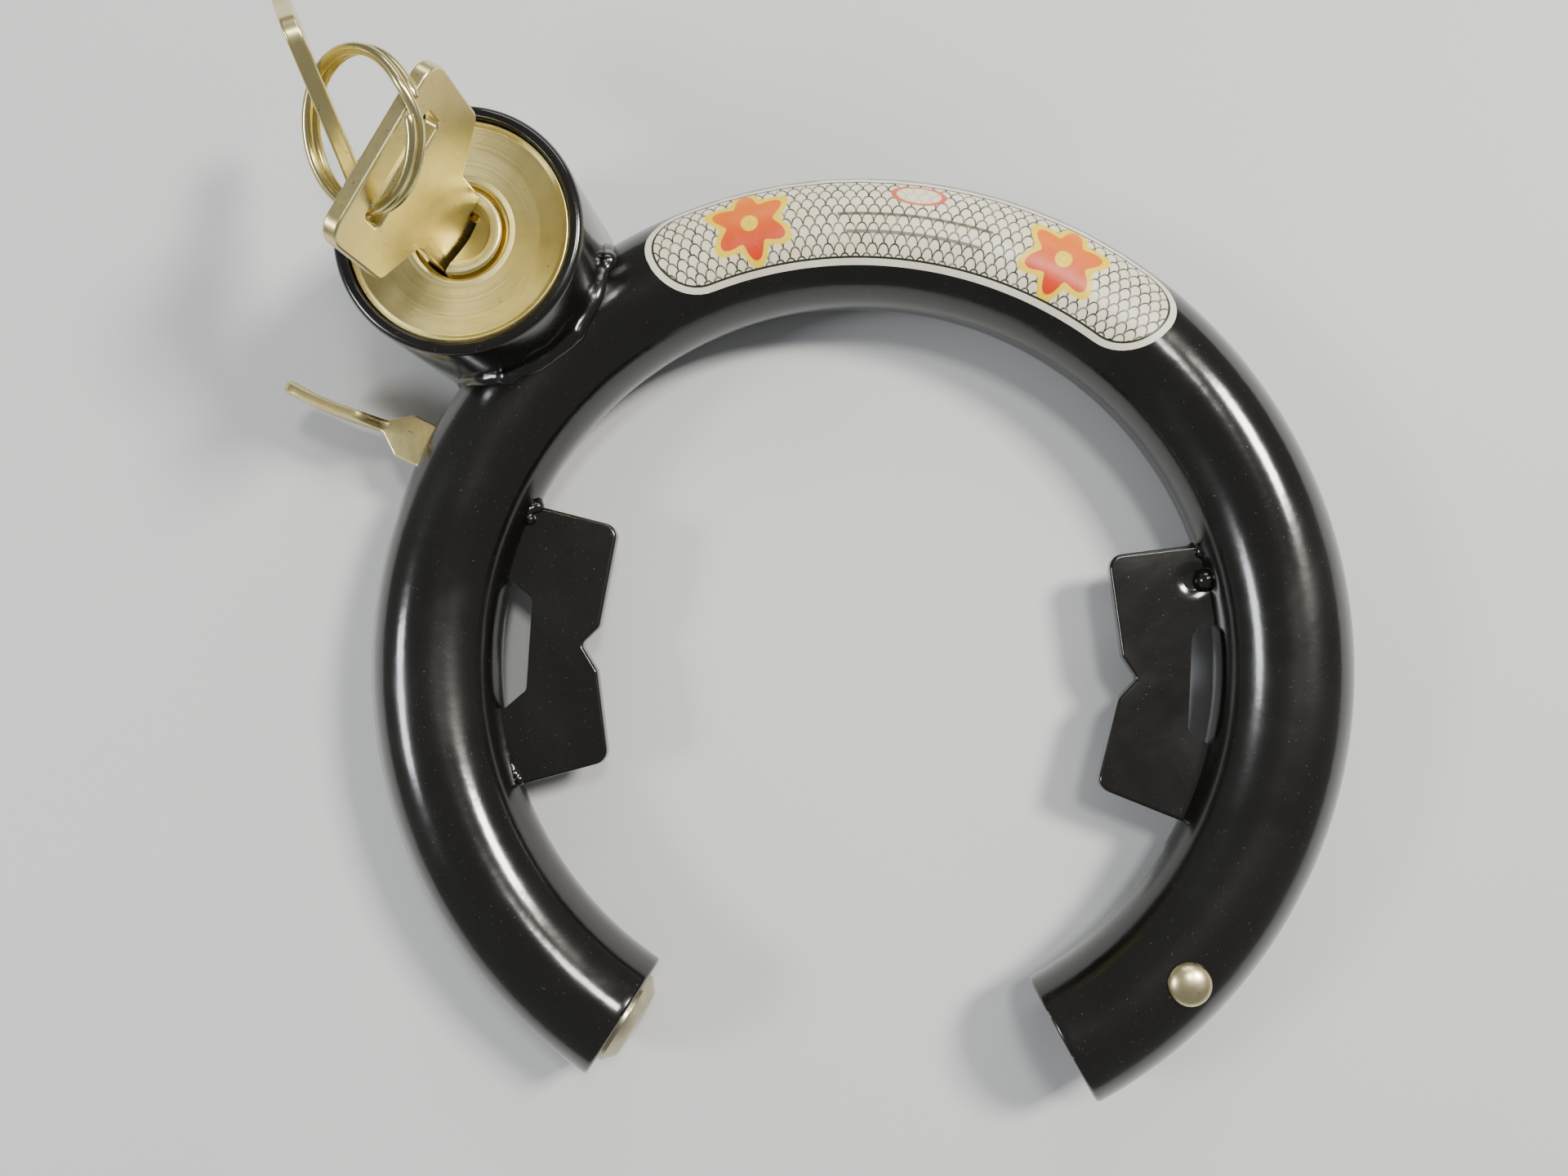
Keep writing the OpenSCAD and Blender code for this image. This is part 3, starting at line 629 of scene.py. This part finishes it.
def make_shackle():
    """The sliding rod: one smooth bar, with a turned taper and crown on its tip."""
    sides, rows, points = 72, [], []
    for t in [ROD_TAIL + 0.02, *steps_between(ROD_TAIL + 0.6, ROD_TIP - 0.1, 1.0)]:
        rows.append((t, 0.0, ROD_R if t > ROD_TAIL + 0.3 else ROD_R - 0.5))
    tip = fillet([(0, ROD_R), (0.1, ROD_R, 0.3), (1.45, 4.25, 0.9), (1.7, 0)], 5, closed=False)
    rows += [(ROD_TIP, p.x, p.y) for p in tip[1:-1]] + [(ROD_TIP, 1.69, 1.5), (ROD_TIP, 1.7, 0.02)]
    section = [2 * math.pi * j / sides for j in range(sides)]
    for t, along, r in rows:
        tangent = around(t + 90, along)
        points += [around(t, RING_R + r * math.cos(a), r * math.sin(a)) + tangent for a in section]
    mesh = mesh_from(points, bar_faces(len(rows), sides))
    to_object("sliding_rod", mesh, "shackle", STEEL, ["shackle_rod"], 50)


# Lever's tab, as distances from the ring's centre and half heights: its two ends, the stretch where
# the neck widens, its half heights there, and how long its rounded end is
TAB_FROM, TAB_TO = 65.4, 79.45
NECK_FROM, NECK_LENGTH = 65.6, 3.2
NECK_HALF, TAB_HALF = 0.95, 4.0
TAB_END = 2.6


def squared(value):
    """A sine or cosine pushed out towards the corners of a rounded box."""
    return math.copysign(abs(value) ** 0.45, value)


def tab_station(s):
    """At a share of the tab's length: reach, sideways bend, half height and half thickness."""
    reach = TAB_FROM + (TAB_TO - TAB_FROM) * s
    rise = smooth(min(1.0, max(0.0, (reach - NECK_FROM) / NECK_LENGTH)))
    height = NECK_HALF + (TAB_HALF - NECK_HALF) * rise
    to_end = TAB_TO - reach
    if to_end < TAB_END:
        height *= math.sqrt(max(0.02, 1 - ((TAB_END - to_end) / TAB_END) ** 2)) * 0.45 + 0.55
    bend = 1.25 * math.sin(math.pi * min(1, s * 0.62)) - 0.15
    return reach, bend, height, 0.75 + 0.12 * s


def make_lever():
    """Stamped lever: a flat root with chamfered shoulders, a narrow neck and an upright curved tab."""
    root = fillet([(53.6, -2.9, 0.3), (63.3, -2.9, 0.5), (65.9, -1.0, 0.6), (67.2, -0.7, 0.5),
                   (67.2, 0.7, 0.5), (65.9, 1.0, 0.6), (63.3, 2.9, 0.5), (53.6, 2.9, 0.3)], 4)
    mesh = slab([root], 2.0, 0.28, turn(LEVER_ANGLE))
    to_object("lever_root", mesh, "shackle", LEVER, ["thumb_lever"])
    count, sides, points = 26, 24, []
    for i in range(count + 1):
        reach, bend, height, thick = tab_station(i / count)
        for k in range(sides):
            a = 2 * math.pi * k / sides
            points.append((reach, bend + squared(math.cos(a)) * thick, squared(math.sin(a)) * height))
    mesh = bevelled(mesh_from(points, bar_faces(count + 1, sides)), 0.25, 3)
    mesh.transform(turn(LEVER_ANGLE))
    to_object("lever_tab", mesh, "shackle", LEVER, [])


# ---------------------------------------------------------------- mounting plates and welds

LEFT_PLATE = [(-45.5, 17.6), (-40.4, 16.7, 0.5), (-30.0, 14.7, 1.7), (-31.5, 2.0, 1.2),
              (-33.6, -0.3, 0.7), (-31.4, -3.4, 1.2), (-29.2, -14.5, 1.7), (-39.4, -18.0, 0.6),
              (-45.5, -18.6)]
RIGHT_PLATE = [(45.5, 17.2), (40.7, 16.4, 0.5), (30.4, 14.5, 1.7), (32.7, 2.35, 1.2),
               (34.6, -0.24, 0.7), (32.5, -2.8, 1.2), (30.4, -13.6, 1.7), (40.9, -17.0, 0.6),
               (45.5, -17.6)]
LEFT_SLOT = [(-47, 8.2), (-43.2, 7.2, 0.4), (-40.2, 5.0, 0.9), (-40.1, -6.4, 0.9),
             (-42.6, -8.8, 0.4), (-47, -9.4)]
RIGHT_SLOT = [(47, 7.2), (43.6, 6.9, 0.4), (40.9, 5.6, 0.9), (40.9, -6.1, 0.9),
              (43.2, -7.4, 0.4), (47, -7.8)]
# each plate's piece, CAD node, outline, slot, and the angle on the ring at its middle
PLATES = (("plate_left", "left_bracket", LEFT_PLATE, LEFT_SLOT, 180),
          ("plate_right", "right_bracket", RIGHT_PLATE, RIGHT_SLOT, 0))
PLATE_T, PLATE_REACH = 2.0, 30


def weld_row(start, end, r, count, seed, wobble=0.25):
    """Overlapping puddles between two points."""
    draw = random.Random(seed)
    spots = []
    for i in range(count):
        s = i / max(1, count - 1)
        jitter = Vector([draw.uniform(-wobble, wobble) for _ in range(3)])
        spots.append((Vector(start).lerp(Vector(end), s) + jitter, r * draw.uniform(0.8, 1.15)))
    return spots


def make_brackets():
    """Two stamped plates with a notch and a slot, coped on to the tube; the right one has a dimple."""
    for name, node, outline, slot, middle in PLATES:
        mesh = slab([fillet(outline)], PLATE_T, 0.42, resolution=4)
        mesh = cut(mesh, slab([fillet(slot)], 3 * PLATE_T, CUTTER_EDGE))
        mesh = cut(mesh, tube_solid(middle - PLATE_REACH, middle + PLATE_REACH, TUBE_R - 0.05))
        if node == "right_bracket":
            dimple = lathe([(0, 0.55), (1.1, 0.6, 0.5), (2.9, 1.1, 0.4), (2.9, 3), (0, 3)],
                           shift((40.7, 12.0, 0)), 48)
            mesh = cut(mesh, dimple)
        to_object(name, mesh, "frame", PAINT, [node], 40, True)


def make_plate_welds():
    """Beads at the corners of both plates, above and below, with a few larger drops."""
    spots = weld_row((-43.0, 15.6, 0.9), (-40.6, 16.6, 0.7), 1.05, 4, 3)
    spots += [(Vector((-41.2, 14.9, 1.1)), 0.75), (Vector((-40.4, 17.2, 0.4)), 0.6)]
    spots += weld_row((-42.4, -14.5, 0.6), (-40.4, -17.6, 0.4), 1.0, 5, 4, 0.15)
    spots += weld_row((43.6, 13.6, 0.9), (41.6, 15.8, 0.8), 1.0, 4, 5)
    spots += [(Vector((42.2, 12.2, 0.9)), 1.45), (Vector((43.4, 13.2, 1.0)), 1.0),
              (Vector((43.9, 10.0, 0.9)), 0.8)]
    spots += weld_row((43.4, -12.8, 0.4), (41.8, -16.4, 0.3), 0.9, 5, 6, 0.15)
    for side in (-1, 1):
        for end in (-1, 1):
            spots += weld_row((side * 43.2, end * 11.5, -1.0), (side * 41.2, end * 16.2, -0.9),
                              0.95, 6, 20 + side + end, 0.2)
    to_object("plate_weld_beads", blobs(spots, 0.16, 4), "frame", BEAD, ["bracket_welds"], 60)


def beside_barrel(angle, out):
    """A point at an angle round the barrel, set out from its wall, and the tube's half height there."""
    radius = BARREL_OR + out
    point = Vector((BARREL_R + radius * math.cos(rad(angle)), radius * math.sin(rad(angle)), 0))
    off = point.to_2d().length - RING_R
    return point, math.sqrt(max(0.01, TUBE_R**2 - off**2))


def make_barrel_weld():
    """The bead that runs along the barrel's foot on the tube, with its ripples and three lumps."""
    draw, spots, on_ring = random.Random(11), [], turn(BARREL_ANGLE)
    reach, count = 57, 30
    for i in range(-count, count + 1):
        p, rise = beside_barrel(180 + reach * i / count, 0.1)
        ripple = 0.1 * math.sin(i * 0.55)
        swell = (1.45 + ripple + draw.uniform(-0.04, 0.04)) * (1 - 0.25 * abs(i / count) ** 3)
        for side in (1, -1):
            if side > 0 or abs(i) < count - 2:
                depth = 0.6 if side > 0 else swell + 0.05
                spots.append((on_ring @ Vector((p.x, p.y, side * rise - side * depth)), swell))
    for from_middle, out, r in ((-30, 0.45, 1.5), (46, 0.5, 1.5), (8, 0.35, 1.45)):
        p, rise = beside_barrel(180 + from_middle, out)
        spots.append((on_ring @ Vector((p.x, p.y, rise - 0.45)), r))
    to_object("barrel_weld_bead", blobs(spots, 0.2, 30), "frame", BEAD, ["barrel_weld"], 60)


# ---------------------------------------------------------------- keys and split ring

KEY_STAND = shift(BARREL + Vector((0, 0, KEY_TOP))) @ turn(KEY_ANGLE) @ shift((0, 0.3, 0))
# Spare key: where it hangs from, its turns about X, Y and Z, and the key's own top edge from there
SPARE_AT, SPARE_TURN, SPARE_HANG = (-55.89, 53.72, 38.81), (-17.4, 45.23, -75.79), (4.06, 0, 3.62)
# Split ring: where it hangs in the key's hole, the way it leans and how far, its roll, and its wire
RING_HANG, RING_LEAN_TO, RING_LEAN, RING_ROLL = (-5.04, 0, -5.37), 214.63, 33.73, 54.69
COIL_R, WIRE_R, COIL_HALF_GAP = 7.5, 0.55, 0.528


def key_outline():
    """Bow, neck and stepped blade in the key's own frame: X across, Y up, 0 at the top edge."""
    return fillet([(-10.2, 0, 2.4), (-10.2, -12.9, 1.9), (-4.7, -16.9, 0.8), (-4.7, -34.2, 0.2),
                   (-3.2, -35.8, 0.2), (-0.7, -35.8, 0.2), (0.2, -34.6, 0.15), (0.8, -34.3, 0.1),
                   (0.9, -31.6, 0.1), (1.4, -31.3, 0.1), (1.5, -28.6, 0.1), (2.0, -28.3, 0.1),
                   (2.1, -23.4, 0.1), (4.6, -23.2, 0.5), (4.6, -16.9, 0.8), (10.2, -12.9, 1.9),
                   (10.2, 0, 2.4)], 6)


def key_mesh(place):
    """A flat key with a slot for the ring in its bow and a groove down one face of its blade."""
    hole = list(reversed(rounded_box_loop(-6.2, -7, 6.2, -3.5, 0.7)))
    upright = turn(90, "X")
    mesh = slab([key_outline(), hole], KEY_T, 0.3, upright)
    groove = slab([rounded_box_loop(-3.65, -37, -2.75, -20.5, 0.4)], 0.8, 0.03,
                  shift((0, KEY_T / 2 + 0.03, 0)) @ upright)
    mesh = cut(mesh, groove)
    mesh.transform(place)
    return mesh


def make_keys():
    """The key in the barrel and the spare key on the split ring."""
    mesh = key_mesh(KEY_STAND)
    to_object("key_in_barrel", mesh, "inserted_key", KEY, ["main_key"], flat=True)
    x, y, z = SPARE_TURN
    spin = turn(z) @ turn(y, "Y") @ turn(x, "X")
    mesh = key_mesh(shift(SPARE_AT) @ spin @ shift(SPARE_HANG))
    to_object("key_on_ring", mesh, "hanging_key", KEY, ["spare_key"], flat=True)


def make_split_ring():
    """Two touching turns of one wire that cross over once, with square-cut ends."""
    lean = shift(RING_HANG) @ turn(RING_LEAN_TO - KEY_ANGLE) @ turn(RING_LEAN, "Y") @ turn(RING_ROLL)
    place = KEY_STAND @ (lean @ shift((-COIL_R, 0, 0)))
    first, last, sides, points = 110.0, 110.0 + 706, 20, []
    cross_from, cross_span, end_lift, end_span = first + 335, 40, 0.12, 14
    angles = steps_between(first, last, 3)
    ends = (0, len(angles) - 1)
    for i, a in enumerate(angles):
        h = -COIL_HALF_GAP + 2 * COIL_HALF_GAP * smooth(min(1.0, max(0.0, (a - cross_from) / cross_span)))
        lift = end_lift * max(0.0, 1 - (a - first) / end_span)
        lift += end_lift * max(0.0, 1 - (last - a) / end_span)
        h += math.copysign(lift, h)
        r = WIRE_R * (0.8 if i in ends else 1.0)
        centre = around(a, COIL_R, h)
        outward = around(a, 1.0)
        for k in range(sides):
            b = 2 * math.pi * k / sides
            points.append(centre + outward * (r * math.cos(b)) + Vector((0, 0, 0.96 * r * math.sin(b))))
    mesh = mesh_from(points, bar_faces(len(angles), sides))
    mesh.transform(place)
    to_object("key_split_ring", mesh, "key_ring", WIRE, ["split_ring"], 50)


# ---------------------------------------------------------------- label

# Label: the angle on the ring at its middle, half its angle, its angle round the tube, its half width
LABEL_MID, LABEL_HALF, LABEL_LEAN, LABEL_ROUND = 85.0, 35.6, 80.5, 6.3
# millimetres for one degree, along the label and across it
LABEL_U = math.pi / 180 * 54.3
LABEL_V = math.pi / 180 * 8.12
# rosettes and rules, in label millimetres
ROSETTES, ROSETTE_SIZE = ((-20.4, 0.4), (18.6, 0.2)), 5.3
RULES = ((-0.1, 9.5), (-2.3, 8.5))


def scale_lines(f, u, v):
    """Overlapping scales: each row is a line of round tops, set half a scale sideways."""
    wide, tall = 1.46, 1.2
    row = f.math("FLOOR", f.math("DIVIDE", v, tall))
    half_step = f.math("MULTIPLY", f.math("FLOORED_MODULO", row, 2.0), 0.5)
    column = f.math("ADD", f.math("DIVIDE", u, wide), half_step)
    across = f.math("MULTIPLY_ADD", f.math("FRACT", column), 2.0, -1.0)
    up = f.math("FRACT", f.math("DIVIDE", v, tall))
    line = f.math("SUBTRACT", 1.0, f.range(f.apart(f.length(across, up), 0.97), 0.05, 0.17))
    heel = f.range(f.math("ADD", f.math("ABSOLUTE", across), f.math("MULTIPLY", up, -0.8)), 0.55, 1.0)
    return f.math("MAXIMUM", line, f.math("MULTIPLY", heel, 0.75))


def with_rosette(f, colour, u, v, mark):
    """A colour with a generic six-petalled rosette and its yellow edge painted over it."""
    x, y = f.math("SUBTRACT", u, mark[0]), f.math("SUBTRACT", v, mark[1])
    far = f.length(x, y)
    petals = f.math("COSINE", f.math("MULTIPLY", f.math("ARCTAN2", x, y), 6.0))
    shape = f.math("SUBTRACT", far,
                   f.math("MULTIPLY_ADD", petals, ROSETTE_SIZE * 0.17, ROSETTE_SIZE * 0.72))
    shape = f.math("MAXIMUM", shape, f.math("SUBTRACT", ROSETTE_SIZE * 0.2, far))
    edge = f.range(shape, 0.75, 1.2, 1.0, 0.0)
    body = f.range(shape, -0.1, 0.12, 1.0, 0.0)
    colour = f.mix(edge, colour, srgb("#ffdc14"))
    return f.mix(body, colour, f.mix(f.range(y, -4.0, 4.0), srgb("#dd3a08"), srgb("#f47c12")))


def with_middle_marks(f, colour, u, v):
    """A colour with a plain oval outline and two thin rules painted over it, in the label's middle."""
    oval = f.length(f.math("DIVIDE", u, 1.9), f.math("SUBTRACT", v, 3.2))
    ring = f.range(f.apart(oval, 1.55), 0.1, 0.24, 1.0, 0.0)
    inside = f.range(oval, 1.5, 1.65, 1.0, 0.0)
    colour = f.mix(f.math("MULTIPLY", inside, 0.75), colour, srgb("#f3ecd0"))
    colour = f.mix(ring, colour, srgb("#dd6a4a"))
    for rule_v, half in RULES:
        band = f.range(f.apart(v, rule_v), 0.16, 0.26, 1.0, 0.0)
        length = f.range(f.math("ABSOLUTE", u), half, half + 0.2, 1.0, 0.0)
        rule = f.math("MULTIPLY", f.math("MULTIPLY", band, length), 0.85)
        colour = f.mix(rule, colour, srgb("#4c483c"))
    return colour


def label_finish():
    """Cream foil with a plain border, a scale pattern and generic marks, drawn in label millimetres."""
    f = Finish("label_print", Coat_Weight=0.2, Coat_Roughness=0.28)
    place = f.add("ShaderNodeAttribute", attribute_name="label_mm")
    split = f.add("ShaderNodeSeparateXYZ")
    f.link(place.outputs["Vector"], split.inputs[0])
    u, v = split.outputs[0], split.outputs[1]
    # distance to the rounded outline, negative inside
    straight = LABEL_HALF * LABEL_U - LABEL_ROUND
    past_end = f.math("MAXIMUM", f.math("SUBTRACT", f.math("ABSOLUTE", u), straight), 0.0)
    edge = f.math("SUBTRACT", f.length(past_end, v), LABEL_ROUND)
    line = scale_lines(f, u, v)
    cloud = f.range(f.noise(0.12, 3, 0.6), 0.3, 0.7)
    ground = f.mix(cloud, srgb("#faf4da"), srgb("#efe8c9"))
    print_wear = f.range(f.noise(0.9, 3, 0.6), 0.3, 0.62, 0.72, 1.0)
    colour = f.mix(f.math("MULTIPLY", line, print_wear), ground, srgb("#1c1a15"))
    for mark in ROSETTES:
        colour = with_rosette(f, colour, u, v, mark)
    colour = with_middle_marks(f, colour, u, v)
    border = f.range(edge, -0.88, -0.78)
    black_line = f.math("MULTIPLY", f.range(edge, -1.16, -1.08), f.math("SUBTRACT", 1.0, border))
    colour = f.mix(black_line, colour, srgb("#26241f"))
    colour = f.mix(border, colour, f.mix(cloud, srgb("#f8f4e2"), srgb("#ebe5cd")))
    rough = f.math("ADD", 0.3, f.math("MULTIPLY", f.noise(0.5, 3, 0.5), 0.12))
    normal = f.bump(f.noise(0.22, 3, 0.5), 0.05, 0.5)
    normal = f.bump(line, 0.01, 0.4, normal)
    return f.set(Base_Color=colour, Roughness=rough, Normal=normal)


def label_columns(reach):
    """Places along the label: close together in its round ends, even between them."""
    fine, even = 15, 150
    columns = [-reach * math.cos(math.pi * i / (4 * fine)) for i in range(1, fine + 1)]
    inner = columns[-1]
    columns += [inner + (-2 * inner) * i / even for i in range(1, even)]
    return columns + [-c for c in reversed(columns[:fine])]


def make_label():
    """Thin foil that follows the tube, with round ends, a film edge and creases along its outer side."""
    reach = LABEL_HALF * LABEL_U
    columns, bands, points, flat_places = label_columns(reach), 40, [], []
    for u in columns:
        past = max(0.0, abs(u) - (reach - LABEL_ROUND))
        half = math.sqrt(max(0.02, LABEL_ROUND**2 - past**2))
        for k in range(-1, bands + 2):
            v = half * (-1 + 2 * min(bands, max(0, k)) / bands)
            crease = noise.noise(Vector((u * 0.55, v * 0.25, 3.1)))
            outer_side = max(0.0, v / LABEL_ROUND) ** 3
            lift = TUBE_R + 0.09 + 0.03 * crease + 0.1 * max(0.0, crease) * outer_side
            if k in (-1, bands + 1):
                lift = TUBE_R - 0.1
            s = LABEL_LEAN - v / LABEL_V
            theta = LABEL_MID - u / LABEL_U
            points.append(around(theta, RING_R + lift * math.cos(rad(s)), lift * math.sin(rad(s))))
            flat_places.append((u, v, 0))
    mesh = mesh_from(points, grid_faces(len(columns), bands + 3))
    data = mesh.attributes.new("label_mm", "FLOAT_VECTOR", "POINT")
    for value, flat_place in zip(data.data, flat_places):
        value.vector = flat_place
    to_object("printed_label", mesh, "frame", label_finish(), ["front_label"], 50)


# ---------------------------------------------------------------- camera, floor and light

# Camera: its place in millimetres, its roll, and its tilts about X and Y
CAMERA_AT, CAMERA_ROLL, CAMERA_TILT = (1.95, -0.46, 157.2), 3.4, (-3.40, -3.73)
# Lights: name, place and size in metres, power in watts, colour; each points at the ring's centre
LIGHTS = (
    ("key_light", (0.55, 0.35, 0.75), (0.18, 0.18), 10.5, (1.0, 0.96, 0.88)),
    ("fill_light", (-0.7, -0.1, 0.55), (0.24, 0.16), 3.2, (0.95, 0.97, 1.0)),
    ("back_light", (0.05, 0.8, 0.5), (0.6, 0.2), 1.8, (1.0, 0.98, 0.94)),
    ("top_light", (0.16, 0.3, 0.9), (0.14, 0.14), 3.0, (1.0, 0.98, 0.92)),
)


def add_camera():
    """Looks almost straight down on the ring, at the photograph's angle."""
    data = bpy.data.cameras.new("photo_camera")
    data.sensor_width = 36
    data.lens = 29.14
    data.clip_start, data.clip_end = 0.005, 20
    camera = bpy.data.objects.new("photo_camera", data)
    tilt = (turn(CAMERA_TILT[1], "Y") @ turn(CAMERA_TILT[0], "X")).transposed()
    camera.matrix_world = shift(Vector(CAMERA_AT) * MM) @ turn(CAMERA_ROLL) @ tilt
    SCENE.collection.objects.link(camera)
    SCENE.camera = camera


def add_floor():
    """A plain pale floor at the object's lowest point; size is half its width in metres."""
    size, edge = 1.6, 24
    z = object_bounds()[0][2]
    mesh = bpy.data.meshes.new("floor")
    span = [(-size + 2 * size * i / edge) for i in range(edge + 1)]
    mesh.from_pydata([(x, y, z) for y in span for x in span], [], grid_faces(edge + 1, edge + 1))
    f = Finish("floor_paper")
    tone = f.noise(0.02, 3, 0.5)
    mesh.materials.append(f.set(Base_Color=f.mix(tone, srgb("#d3d5d8"), srgb("#dadcde")),
                                Roughness=f.math("ADD", 0.55, f.math("MULTIPLY", tone, 0.1)),
                                Normal=f.bump(f.noise(1.2, 3, 0.6), 0.01, 0.3)))
    floor = bpy.data.objects.new("floor", mesh)
    SCENE.collection.objects.link(floor)


def add_light(name, place, size, power, colour):
    data = bpy.data.lights.new(name, "AREA")
    data.shape, data.size, data.size_y = "RECTANGLE", size[0], size[1]
    data.energy, data.color = power, colour
    light = bpy.data.objects.new(name, data)
    light.location = place
    light.rotation_euler = (-Vector(place)).to_track_quat("-Z", "Y").to_euler()
    SCENE.collection.objects.link(light)


def add_lights():
    world = bpy.data.worlds.new("studio")
    SCENE.world = world
    world.use_nodes = True
    background = world.node_tree.nodes["Background"]
    background.inputs["Color"].default_value = (0.97, 0.97, 0.96, 1)
    background.inputs["Strength"].default_value = 0.25
    for light in LIGHTS:
        add_light(*light)


# ---------------------------------------------------------------- assembly

add_camera()
add_floor()
add_lights()

CAD_FINISHES = {
    "ring_tube": PAINT, "barrel_shell": PAINT, "back_cover": PAINT, "left_bracket": PAINT,
    "right_bracket": PAINT, "barrel_weld": BEAD, "bracket_welds": BEAD, "face_disc": KEY,
    "cylinder_body": BRASS, "chamber_strip": STEEL, "driver_pins": BRASS, "pin_springs": SPRING,
    "bolt_guide": ZINC, "bolt_spring": SPRING, "anchor_rivet": RIVET, "return_spring": SPRING,
    "front_label": KEY, "shackle_rod": STEEL, "thumb_lever": LEVER, "lever_pin": STEEL,
    "key_plug": KEY, "key_pins": BRASS, "plug_clip": SPRING, "drive_cam": ZINC,
    "latch_bolt": STEEL, "main_key": KEY, "split_ring": WIRE, "spare_key": KEY,
}
make_tube()
make_barrel()
make_disc()
make_plug()
make_rivet()
make_shackle()
make_lever()
make_brackets()
make_plate_welds()
make_barrel_weld()
make_keys()
make_split_ring()
make_label()

for node_name, finish in CAD_FINISHES.items():
    mesh_slots = frame["nodes"][node_name].data.materials
    if len(mesh_slots) == 0:
        mesh_slots.append(finish)
    for slot_number in range(len(mesh_slots)):
        mesh_slots[slot_number] = finish
